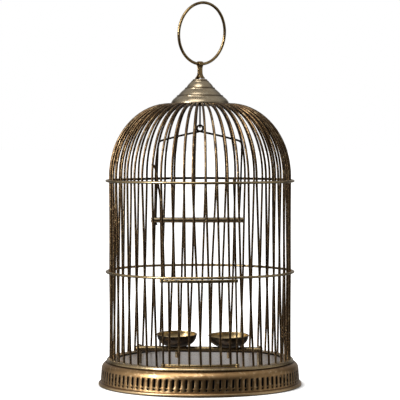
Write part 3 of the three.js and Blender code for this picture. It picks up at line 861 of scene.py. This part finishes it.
def make_base(finishes):
    """The pierced skirt, the flat ring inside it and the floor plate on that."""
    skirt = grown(skirt_panel(), ROUND_TREE, 50, count=SLOT_COUNT, finish=finishes["base"])
    yield skirt, "base", ["base_skirt"], "base_brass"
    seat_outline = rounded([
        (118, SEAT_BOTTOM), (140, SEAT_BOTTOM), (140, SEAT_TOP), (118, SEAT_TOP),
    ], 0.4, closed=True)
    seat = spun("seat_ring_flat", seat_outline, finishes["base"], BASE_SIDES, closed=True)
    yield seat, "base", ["seat_ring"], "base_brass"
    floor_outline = rounded([
        (0, FLOOR_BOTTOM), (123.5, FLOOR_BOTTOM), (123.5, FLOOR_TOP), (121.5, FLOOR_TOP),
        (120.4, FLOOR_TOP - FLOOR_RIM), (0, FLOOR_TOP - FLOOR_RIM),
    ], 0.5)
    floor = spun("floor_plate_turned", floor_outline, finishes["floor"], BASE_SIDES)
    yield floor, "base", ["floor_plate"], "floor_metal"


# ---- feeder -------------------------------------------------------------------------------


def rail_bar(finishes):
    """The round rail, its ends rounded over and its bar hammered a little flat at the posts."""
    turn = math.radians(RAIL_TURN)
    side = Vector((-math.sin(turn), math.cos(turn), 0))
    sides, steps = 20, 44
    half = RAIL_LENGTH / 2
    stations = [-half + 0.3, -half + 0.9]
    stations += [RAIL_LENGTH * (step / steps - 0.5) for step in range(1, steps)]
    stations += [half - 0.9, half - 0.3]
    points, faces = [], []
    for along in stations:
        here = on_rail(along)(Vector((0, 0, RAIL_HEIGHT)))
        flat = max(0.0, 1 - abs(abs(along) - POST_DISTANCE) / 8)
        tip = min(1.0, 0.74 + 0.3 * (half - abs(along)) ** 0.5)
        wide = RAIL_RADIUS * (1 + 0.05 * flat) * tip
        tall = RAIL_RADIUS * (1 - 0.05 * flat) * tip
        for n in range(sides):
            angle = 2 * math.pi * n / sides
            points.append(here + side * wide * math.cos(angle)
                          + Vector((0, 0, 1)) * tall * math.sin(angle))
    last = len(stations) - 1
    for row in range(last):
        for n in range(sides):
            a, b = row * sides + n, row * sides + (n + 1) % sides
            faces.append([a, b, b + sides, a + sides])
    faces.append(list(range(sides))[::-1])
    faces.append(list(range(last * sides, (last + 1) * sides)))
    bar = new_piece("feeder_rail_bar", points, faces, finishes["rail"])
    # The lower half is marked for the rail finish's painted shade.
    shade = RAIL_HEIGHT - 0.5
    mark_inside(bar, [float(point.z < shade) for point in points])
    return bar


def cup_outline(radius, height):
    """Up the outside of a cup, over its rolled lip and down the inside."""
    outer, inner, lip = [(0.0, CUP_BOTTOM)], [], []
    side = height - 1.2
    reach = radius - 0.7 - CUP_FLAT
    steps = 16
    for step in range(steps + 1):
        angle = math.radians(90 * step / steps)
        bulge = math.sin(angle) ** 0.9
        lift = 1 - math.cos(angle)
        outer.append((CUP_FLAT + reach * bulge, CUP_BOTTOM + side * lift))
        inner.insert(0, (CUP_FLAT - 0.3 + (reach - CUP_WALL + 0.3) * bulge,
                         CUP_BOTTOM + CUP_WALL + (side - CUP_WALL) * lift))
    for step in range(9):
        angle = math.radians(-70 + 230 * step / 8)
        lip.append((radius - CUP_LIP + CUP_LIP * math.cos(angle),
                    CUP_BOTTOM + height - CUP_LIP + CUP_LIP * math.sin(angle)))
    return outer[:-1] + lip + inner[1:] + [(0.0, CUP_BOTTOM + CUP_WALL)]


def make_feeder(finishes):
    """The rail on its two posts, and the two cups on their pins."""
    yield rail_bar(finishes), "base", ["feeder_rail"], "feeder_brass"
    foot = FLOOR_TOP - FLOOR_RIM
    post_outline = rounded([
        (0, foot), (POST_RADIUS + 0.5, foot), (POST_RADIUS, foot + 0.8),
        (POST_RADIUS, POST_TOP - 1.6), (0, POST_TOP),
    ], 1.2)
    for side, along in (("left", -POST_DISTANCE), ("right", POST_DISTANCE)):
        post = spun(f"rail_post_{side}", post_outline, finishes["bronze"], 32, place=on_rail(along))
        yield post, "base", [f"feeder_post_{side}"], "feeder_brass"
    pin_top = CUP_BOTTOM - 0.1
    pin_outline = rounded([
        (0, PIN_BOTTOM), (PIN_RADIUS - 0.4, PIN_BOTTOM), (PIN_RADIUS, PIN_BOTTOM + 0.8),
        (PIN_RADIUS, pin_top), (0, pin_top),
    ], 0.4)
    for side, along, radius, height in CUPS:
        place = on_rail(along, CUP_TILT)
        outline = cup_outline(radius, height)
        bowl = spun(f"seed_cup_{side}", outline, finishes["cup"], CUP_SIDES, place=place)
        # The inside is marked for the golden colour; the outside keeps the dark painted shade.
        lip = 1 + (len(outline) // 2 - 1) * CUP_SIDES
        mark_inside(bowl, [float(index >= lip) for index in range(len(bowl.data.vertices))])
        pin = spun(f"seed_cup_pin_{side}", pin_outline, finishes["bronze"], 32, place=place)
        yield bowl, f"cup_{side}_body", [f"cup_{side}"], "feeder_brass"
        yield pin, f"cup_{side}_body", [f"cup_stem_{side}"], "feeder_brass"


# ---- cage ---------------------------------------------------------------------------------


def wire_leg(index, chance):
    """One leg of a hairpin, from its foot or from the middle hoop to the crown."""
    angle = index * WIRE_PITCH
    foot = angle + chance.gauss(0, WOBBLE * 0.6)
    middle = angle + MIDDLE_TWIST + chance.gauss(0, WOBBLE)
    upper = angle + UPPER_TWIST + chance.gauss(0, WOBBLE)
    crown = angle + UPPER_TWIST + chance.gauss(0, WOBBLE * 0.5)
    bow = chance.uniform(-0.5, 0.3)
    bulge = chance.uniform(-0.5, 0.5)
    leg = []
    steps = 5
    if abs(index) > DOOR_HALF_WIRES:
        for step in range(steps):
            share = step / steps
            radius = WIRE_CIRCLE + bow * math.sin(math.pi * share)
            height = RING_TOP - 1 + (MIDDLE_HOOP - RING_TOP + 1) * share
            leg.append(around(radius, foot + (middle - foot) * share, height))
    else:
        leg.append(around(WIRE_CIRCLE, middle, MIDDLE_HOOP - 2.2))
    for step in range(steps):
        share = step / steps
        radius = WIRE_CIRCLE + bow * math.sin(math.pi * share)
        height = MIDDLE_HOOP + (UPPER_HOOP - MIDDLE_HOOP) * share
        leg.append(around(radius, middle + (upper - middle) * share, height))
    leg.append(around(WIRE_CIRCLE, upper, UPPER_HOOP))
    dome_steps = 18
    for step in range(dome_steps + 1):
        share = step / dome_steps
        turn = math.radians(90 * share)
        swell = bulge * math.sin(math.pi * share)
        radius = DOME_FLAT_RADIUS + (WIRE_CIRCLE - DOME_FLAT_RADIUS + swell) * math.cos(turn)
        height = DOME_SPRING + (DOME_TOP - DOME_SPRING) * math.sin(turn)
        leg.append(around(radius, upper + (crown - upper) * share, height))
    leg.append(around(HAIRPIN_RADIUS + 2, angle + UPPER_TWIST, DOME_TOP))
    return leg


def hairpin(index, chance):
    """Two neighbouring wires that are one length, turned back under the cap."""
    middle = (index + 0.5) * WIRE_PITCH + UPPER_TWIST
    half = math.radians(WIRE_PITCH / 2)
    centre = around(HAIRPIN_RADIUS * math.cos(half), middle, DOME_TOP)
    bend = arc(centre, around(1, middle + 90, 0), around(-1, middle, 0),
               HAIRPIN_RADIUS * math.sin(half), 180, 0, 8)
    return wire_leg(index, chance) + bend + wire_leg(index + 1, chance)[::-1]


def hoop_line(height, wave):
    """A hoop that hand work has left a little uneven."""
    line = []
    for step in range(HOOP_STEPS):
        angle = 360 * step / HOOP_STEPS
        turn = math.radians(angle)
        drift = 0.25 * math.sin(2 * turn + wave) + 0.15 * math.sin(5 * turn + 2 * wave)
        line.append(around(HOOP_RADIUS, angle, height + drift))
    return line


def cap_outline():
    """Up the inside of the cap from the middle, and up its three tiers outside."""
    outer = [
        (42.9, 420.9), (43.0, 421.6), (42.0, 424.0), (39.6, 426.8), (36.8, 429.2), (34.9, 430.7),
        (34.6, 431.9), (34.1, 432.6), (32.2, 432.9), (31.4, 433.8), (29.6, 436.0), (26.6, 438.9),
        (23.8, 441.2), (22.6, 442.2), (22.4, 443.4), (21.9, 444.0), (20.3, 444.3), (19.5, 445.6),
        (17.8, 448.2), (15.0, 451.2), (13.2, 452.8), (12.9, 454.0), (11.2, 454.4), (11.0, 455.6),
        (10.0, 456.5), (7.0, 457.1), (0, 457.3),
    ]
    inner = [(max(radius - 0.9, 0), height - (0.9 if n else 0)) for n, (radius, height)
             in enumerate(outer)]
    return rounded(inner[::-1] + outer, 0.5, 2)


def strap_line():
    """The centre line of one half of the folded strap, in (across, height)."""
    half = [(7.0, 457.9), (6.0, 458.3), (4.2, 459.7), (2.2, 461.9), (1.2, 464.2), (0.85, 467.5),
            (0.85, 472.5), (1.2, 474.6)]
    for degrees in range(-48, 91, 13):
        angle = math.radians(degrees)
        half.append((STRAP_LOOP * math.cos(angle), RING_FOOT + STRAP_LOOP * math.sin(angle)))
    return half


def hanger_strap(finishes):
    """The strap folded round the hanging ring, its two feet spread on the cap."""
    half = strap_line()
    flat = half[:-1] + [(0.0, half[-1][1])] + [(-x, z) for x, z in half[:-1]][::-1]
    turn = math.radians(RING_TURN)
    width_way = Vector((math.cos(turn), math.sin(turn), 0))
    across_way = Vector((-math.sin(turn), math.cos(turn), 0))
    line = [across_way * x + Vector((0, 0, z)) for x, z in flat]
    line = bent_line(line, 2.0, 2)
    points, faces = swept(line, oval(1.4, 8.0, 20, 0.35), frame_up=width_way)
    return new_piece("hanger_strap", points, faces, finishes["hanger"], crease=50)


def ring_line(steps=120):
    """The hanging ring, a little out of round."""
    lean = math.radians(RING_LEAN)
    turn = math.radians(RING_TURN)
    line = []
    for step in range(steps):
        angle = 2 * math.pi * step / steps
        radius = RING_RADIUS + 0.25 * math.sin(2 * angle + 0.6) + 0.15 * math.sin(3 * angle)
        x = radius * math.sin(angle)
        rise = RING_RADIUS - radius * math.cos(angle)
        y, z = -rise * math.sin(lean), rise * math.cos(lean)
        line.append(Vector((
            x * math.cos(turn) - y * math.sin(turn),
            x * math.sin(turn) + y * math.cos(turn),
            RING_FOOT + z,
        )))
    return line


def guide_lines():
    """The two guide rods: the left one curls over a wire, the right one stops inside the hoop."""
    left = [
        on_guide(GUIDE_ANGLES[0], RING_TOP - 0.5), on_guide(GUIDE_ANGLES[0], 160),
        on_guide(GUIDE_ANGLES[0], GUIDE_STRAIGHT_TOP), Vector((-58.4, -118.4, 293)),
        Vector((-60, -119.6, 302)), Vector((-61.3, -119.3, 312)), Vector((-62, -119, 320)),
        Vector((-64.3, -119.2, 326.6)), Vector((-66.3, -118.8, 330.4)),
        Vector((-69.2, -118, 331.6)),
    ]
    right = [
        on_guide(GUIDE_ANGLES[1], RING_TOP - 0.5), on_guide(GUIDE_ANGLES[1], 160),
        on_guide(GUIDE_ANGLES[1], GUIDE_STRAIGHT_TOP), Vector((48.9, -120.6, 293)),
        Vector((48.5, -125, 302)), Vector((48.2, -125.2, 311)),
    ]
    return {"left": bent_line(left), "right": bent_line(right)}


def make_bottom_ring(finishes):
    """The flat ring that the wires stand on."""
    outline = rounded([
        (124.4, RING_BOTTOM), (138.8, RING_BOTTOM), (140.0, RING_BOTTOM + 1.0),
        (140.0, RING_BOTTOM + 2.6), (138.8, RING_TOP - 0.3), (137.6, RING_TOP),
        (125.6, RING_TOP), (124.4, RING_TOP - 0.9),
    ], 0.9, closed=True)
    ring = spun("cage_bottom_ring", outline, finishes["ring"], RING_SIDES, closed=True)
    # The inner wall is marked for the ring finish's painted shade.
    mark_within(ring, 124.7)
    yield ring, "cage", ["bottom_ring"], "base_brass"


def make_wires(finishes):
    """All the hairpins of the cage and the dome, as one piece."""
    chance = random.Random(7)
    lines = [hairpin(index, chance) for index in range(-WIRE_COUNT // 2, WIRE_COUNT // 2, 2)]
    wires = drawn_wires("dome_wires", lines, WIRE_RADIUS, finishes["wire"], 12)
    nodes = [f"hairpin_wire_{number + 1:02d}" for number in range(WIRE_COUNT // 2)]
    yield wires, "cage", nodes, "wire_brass"


def make_hoops(finishes):
    """The two hoops round the wires. The upper one has a dark painted shade on its inner side, the
    middle one a faint one.
    """
    for name, node, height, wave, inner_shade in (
        ("middle_hoop_band", "middle_hoop", MIDDLE_HOOP, 0.4, 0.15),
        ("upper_hoop_band", "upper_hoop", UPPER_HOOP, 2.1, 1.0),
    ):
        section = oval(HOOP_WIDTH, HOOP_THICKNESS, 14, 0.9)
        points, faces = swept(hoop_line(height, wave), section, closed=True)
        band = new_piece(name, points, faces, finishes["hoop"])
        # The inner side is marked for the hoop finish's painted shade.
        mark_within(band, WIRE_CIRCLE + WIRE_RADIUS + 2.4, inner_shade)
        yield band, "cage", [node], "wire_brass"


def make_solder(finishes):
    """Solder where each wire meets a hoop, and round each foot on the bottom ring."""
    places = range(-WIRE_COUNT // 2, WIRE_COUNT // 2)
    behind_hoop = WIRE_CIRCLE + WIRE_RADIUS + 0.2
    joints = []
    for index in places:
        angle = index * WIRE_PITCH
        joints.append(around(behind_hoop, angle + MIDDLE_TWIST, MIDDLE_HOOP))
        joints.append(around(behind_hoop, angle + UPPER_TWIST, UPPER_HOOP))
    solder = beads("hoop_solder", joints, 1.6, (0.7, 1.5, 0.9), finishes["solder"])
    yield solder, "cage", [], "wire_brass"
    feet = [around(WIRE_CIRCLE, index * WIRE_PITCH, RING_TOP)
            for index in places if abs(index) > DOOR_HALF_WIRES]
    feet += [on_guide(angle, RING_TOP) for angle in GUIDE_ANGLES]
    collars = beads("wire_foot_solder", feet, 2.1, (1.0, 1.0, 0.55), finishes["solder"])
    yield collars, "cage", [], "wire_brass"


def make_crown(finishes):
    """The cap, the strap on it and the ring that the cage hangs by."""
    outline = cap_outline()
    cap = spun("crown_cap_spun", outline, finishes["cap"], CAP_SIDES, crease=60)
    # The underside of the cap is marked for the cap finish's painted shade.
    under = 1 + (len(outline) // 2 - 1) * CAP_SIDES
    mark_inside(cap, [float(index < under) for index in range(len(cap.data.vertices))])
    yield cap, "cage", ["crown_cap"], "cap_bronze"
    yield hanger_strap(finishes), "cage", ["hanger_clip"], "hanger_brass"
    hanging = drawn_wires("hanging_ring_wire", [ring_line()], RING_WIRE, finishes["hanger"], 16,
                          closed=True)
    yield hanging, "ring", ["hanging_ring"], "hanger_brass"


def make_guides(finishes):
    """The two rods that the door slides on."""
    for side, line in guide_lines().items():
        rod = drawn_wires(f"guide_rod_{side}_drawn", [line], ROD_RADIUS, finishes["wire"], 12)
        yield rod, "cage", [f"guide_rod_{side}"], "wire_brass"


# ---- door ---------------------------------------------------------------------------------


def door_rail(name, low, high, finishes):
    """A half-round rail that follows the cage, with an eye on each guide rod."""
    middle = (low + high) / 2
    shift = lean_at(middle)
    start, end = GUIDE_ANGLES
    steps = 40
    line = []
    for step in range(steps + 1):
        angle = start + 1.2 + (end - start - 2.4) * step / steps
        line.append(around(GUIDE_CIRCLE, angle, middle) + shift)
    points, faces = swept(line, oval(3.2, high - low, 16, 0.7))
    outline = rounded([
        (EYE_BORE, low), (EYE_EDGE, low), (EYE_EDGE, high), (EYE_BORE, high),
    ], 0.6, closed=True)
    for angle in GUIDE_ANGLES:
        ring_points, ring_faces = spun_faces(outline, 28, True)
        first = len(points)
        centre = around(GUIDE_CIRCLE, angle, 0) + shift
        points.extend(point + centre for point in ring_points)
        faces.extend([first + c for c in face] for face in ring_faces)
    return new_piece(name, points, faces, finishes["hoop"])


def make_door(finishes):
    """The two rails of the door and its bars."""
    top = door_rail("door_rail_top", *TOP_RAIL, finishes)
    bottom = door_rail("door_rail_bottom", *BOTTOM_RAIL, finishes)
    yield top, "door", ["door_top_rail"], "wire_brass"
    yield bottom, "door", ["door_bottom_rail"], "wire_brass"
    chance = random.Random(3)
    lines = []
    for index in range(DOOR_BARS):
        foot = FIRST_BAR_ANGLE + index * BAR_PITCH + chance.gauss(0, WOBBLE)
        head = FIRST_BAR_ANGLE + index * BAR_PITCH + chance.gauss(0, WOBBLE)
        lines.append([
            on_guide(foot, BOTTOM_RAIL[0] + 1.5),
            on_guide((foot + head) / 2, (BOTTOM_RAIL[0] + TOP_RAIL[1]) / 2),
            on_guide(head, TOP_RAIL[1] - 1.5),
        ])
    bars = drawn_wires("door_bars_drawn", lines, WIRE_RADIUS, finishes["wire"], 12)
    yield bars, "door", [f"door_bar_{index + 1}" for index in range(DOOR_BARS)], "wire_brass"


# ---- swing --------------------------------------------------------------------------------


def bail_line():
    """One wire: up through the perch, over the left shoulder, round the eye and down again."""
    left = [
        Vector((BAIL_FEET[0] + 1.6, 0.4, PERCH_HEIGHT - 7.2)),
        Vector((BAIL_FEET[0], 0, PERCH_HEIGHT - 5)),
        Vector((BAIL_FEET[0], 0, PERCH_HEIGHT + 6)),
        Vector((-64.6, 0, 300)),
        Vector((-SHOULDER - 0.6, 0, SHOULDER_HEIGHT - 6)),
        Vector((-SHOULDER + 0.6, 0, SHOULDER_HEIGHT - 1)),
        Vector((-SHOULDER + 5, 0, SHOULDER_HEIGHT + 1.3)),
        Vector((-30, -0.5, 372.2)),
        Vector((-4, -EYE_CROSSING, EYE_CENTRE - EYE_RADIUS - 0.9)),
    ]
    eye = []
    steps = 28
    for step in range(steps + 1):
        share = step / steps
        angle = math.radians(-58 + 296 * share)
        eye.append(Vector((
            EYE_RADIUS * math.cos(angle),
            EYE_CROSSING * (2 * share - 1),
            EYE_CENTRE + EYE_RADIUS * math.sin(angle),
        )))
    right = [
        Vector((4, EYE_CROSSING, EYE_CENTRE - EYE_RADIUS - 0.9)),
        Vector((30, 0.5, 372.2)),
        Vector((SHOULDER - 5, 0, SHOULDER_HEIGHT + 1.3)),
        Vector((SHOULDER - 0.6, 0, SHOULDER_HEIGHT - 1)),
        Vector((SHOULDER + 0.6, 0, SHOULDER_HEIGHT - 6)),
        Vector((60.8, 0, 300)),
        Vector((BAIL_FEET[1], 0, PERCH_HEIGHT + 6)),
        Vector((BAIL_FEET[1], 0, PERCH_HEIGHT - 5)),
        Vector((BAIL_FEET[1] + 0.9, 0, PERCH_HEIGHT - 8)),
        Vector((BAIL_FEET[1] + 0.3, 0, PERCH_HEIGHT - 13.3)),
    ]
    return bent_line(left, 4.0) + eye + bent_line(right, 4.0)


def make_swing(finishes):
    """The hook under the crown, the bail that hangs from it and the perch."""
    centre = Vector((0, 0, HOOK_CENTRE))
    hook = [Vector((0, -HOOK_BEND, 416.4)), Vector((0, -HOOK_BEND, 402))]
    hook += arc(centre, Vector((0, 1, 0)), Vector((0, 0, 1)), HOOK_BEND, 180, 360, 14)
    hook.append(Vector((0, HOOK_BEND, HOOK_CENTRE + 3.2)))
    hook_wire = drawn_wires("swing_hook_wire", [hook], HOOK_WIRE, finishes["dark wire"], 12)
    yield hook_wire, "cage", ["swing_hook"], "wire_brass"
    bail = drawn_wires("swing_bail_wire", [bail_line()], BAIL_WIRE, finishes["dark wire"], 12)
    yield bail, "swing", ["swing_bail"], "wire_brass"
    low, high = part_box("swing_perch")
    left, right = low[0] / MM, high[0] / MM
    outline = rounded([
        (0, left), (3.3, left), (PERCH_RADIUS, left + 1.2), (PERCH_RADIUS, right - 1.2),
        (3.3, right), (0, right),
    ], 1.0, 5)

    def lay(point):
        return Vector((point.z, point.y, PERCH_HEIGHT - point.x))

    perch = spun("swing_perch_rod", outline, finishes["bronze"], 40, place=lay)
    yield perch, "swing", ["swing_perch"], "perch_bronze"


# ---- surroundings -------------------------------------------------------------------------


def make_floor():
    """A wide plain pale floor, white round the base, with a painted shadow under it."""
    size = 30000.0
    corners = [Vector((x * size, y * size, -0.2)) for x, y in ((-1, -1), (1, -1), (1, 1), (-1, 1))]
    finish = Finish("pale_floor")
    finish.shader.inputs["Roughness"].default_value = 0.9
    finish.shader.inputs["Specular IOR Level"].default_value = 0.0
    finish.shader.inputs["Emission Color"].default_value = colour(1.0, 1.0, 1.0)
    away = finish.away(finish.level(finish.place))
    # The glow fades out near the base, which paints a soft shadow round it.
    glow = finish.ramp(away, 148.5 * MM, 165 * MM)
    finish.tree.links.new(glow, finish.shader.inputs["Emission Strength"])
    # Dark under the base: a painted contact shadow.
    shade = finish.ramp(away, 146 * MM, 153 * MM)
    pale = finish.mix(shade, colour(0.03, 0.03, 0.03), colour(0.85, 0.85, 0.85))
    finish.tree.links.new(pale, finish.shader.inputs["Base Color"])
    floor = new_piece("studio_floor", corners, [[0, 1, 2, 3]], finish.material)
    floor.visible_glossy = False
    floor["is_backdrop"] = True


def soft_box(name, place, aim, width, height, power):
    """A white area light that looks at a place."""
    light = bpy.data.lights.new(name, "AREA")
    light.shape = "RECTANGLE"
    light.size = width
    light.size_y = height
    light.energy = power
    lamp = bpy.data.objects.new(name, light)
    lamp.location = place
    lamp.rotation_euler = (Vector(aim) - Vector(place)).to_track_quat("-Z", "Y").to_euler()
    bpy.context.scene.collection.objects.link(lamp)


def make_world():
    """White to look at, and lighting the cage from behind, from above and from both sides."""
    world = bpy.data.worlds.new("studio")
    bpy.context.scene.world = world
    world.use_nodes = True
    tree = world.node_tree
    direction = add_node(tree, "ShaderNodeTexCoord").outputs["Generated"]
    parts = add_node(tree, "ShaderNodeSeparateXYZ", [("Vector", direction)])

    def lobe(axis, low, high, strength):
        return add_node(tree, "ShaderNodeMapRange", [
            ("Value", parts.outputs[axis]), ("From Min", low), ("From Max", high),
            ("To Max", strength),
        ], interpolation_type="SMOOTHSTEP").outputs[0]

    def joined(operation, first, second):
        return add_node(tree, "ShaderNodeMath", [(0, first), (1, second)],
                        operation=operation).outputs[0]

    behind = lobe("Y", 0.75, 1.0, 0.36)
    left = lobe("X", -0.7, -1.0, 0.6)
    right = lobe("X", 0.7, 1.0, 0.42)
    above = lobe("Z", 0.2, 0.8, 0.45)
    sides = joined("MAXIMUM", left, right)
    lit = joined("MAXIMUM", joined("MAXIMUM", behind, sides), above)
    seen = add_node(tree, "ShaderNodeLightPath").outputs["Is Camera Ray"]
    strength = add_node(tree, "ShaderNodeMix", [
        (0, seen), (2, joined("ADD", lit, 0.045)), (3, 1.0),
    ], data_type="FLOAT")
    background = tree.nodes["Background"]
    tree.links.new(strength.outputs[0], background.inputs["Strength"])
    background.inputs["Color"].default_value = colour(1.0, 1.0, 1.0)


def make_camera():
    """Straight on to the door, from above the upper hoop and three metres away."""
    camera = bpy.data.cameras.new("camera")
    camera.lens = 177.5
    camera.sensor_width = 36
    camera.clip_end = 100
    eye = bpy.data.objects.new("camera", camera)
    eye.location = (0, -2.946, 0.3836)
    target = Vector((0, 0, 0.2762))
    eye.rotation_euler = (target - eye.location).to_track_quat("-Z", "Y").to_euler()
    bpy.context.scene.collection.objects.link(eye)
    bpy.context.scene.camera = eye


def make_surroundings():
    """The floor, the soft light and the camera."""
    make_floor()
    make_world()
    soft_box("key", (-2.0, -1.4, 1.2), (0, 0, 0.3), 0.6, 1.8, 66)
    soft_box("top", (-0.5, -0.9, 2.2), (0, 0, 0.1), 1.4, 1.4, 22)
    make_camera()
    bpy.context.scene.view_settings.view_transform = "Standard"


# ---- assembly -----------------------------------------------------------------------------

WIRE_TREE = wire_tree()
BEAD_TREE = bead_tree()
ROUND_TREE = round_tree()


def build():
    """Makes every piece, rides it on its body and hides the nodes that it stands for."""
    finishes = make_finishes()
    for maker in (
        make_base, make_feeder, make_bottom_ring, make_wires, make_hoops, make_solder, make_crown,
        make_guides, make_door, make_swing,
    ):
        for piece, body, nodes, slot in maker(finishes):
            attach(piece, body)
            if nodes:
                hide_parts(*nodes)
    for node in ("crown_plate", "crown_stem"):
        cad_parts[node].material_slots[0].material = finishes["solder"]
    make_surroundings()


build()
boxes = {"cad": cad_box, "visual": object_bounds()}
{name: [list(corner) for corner in box] for name, box in boxes.items()}
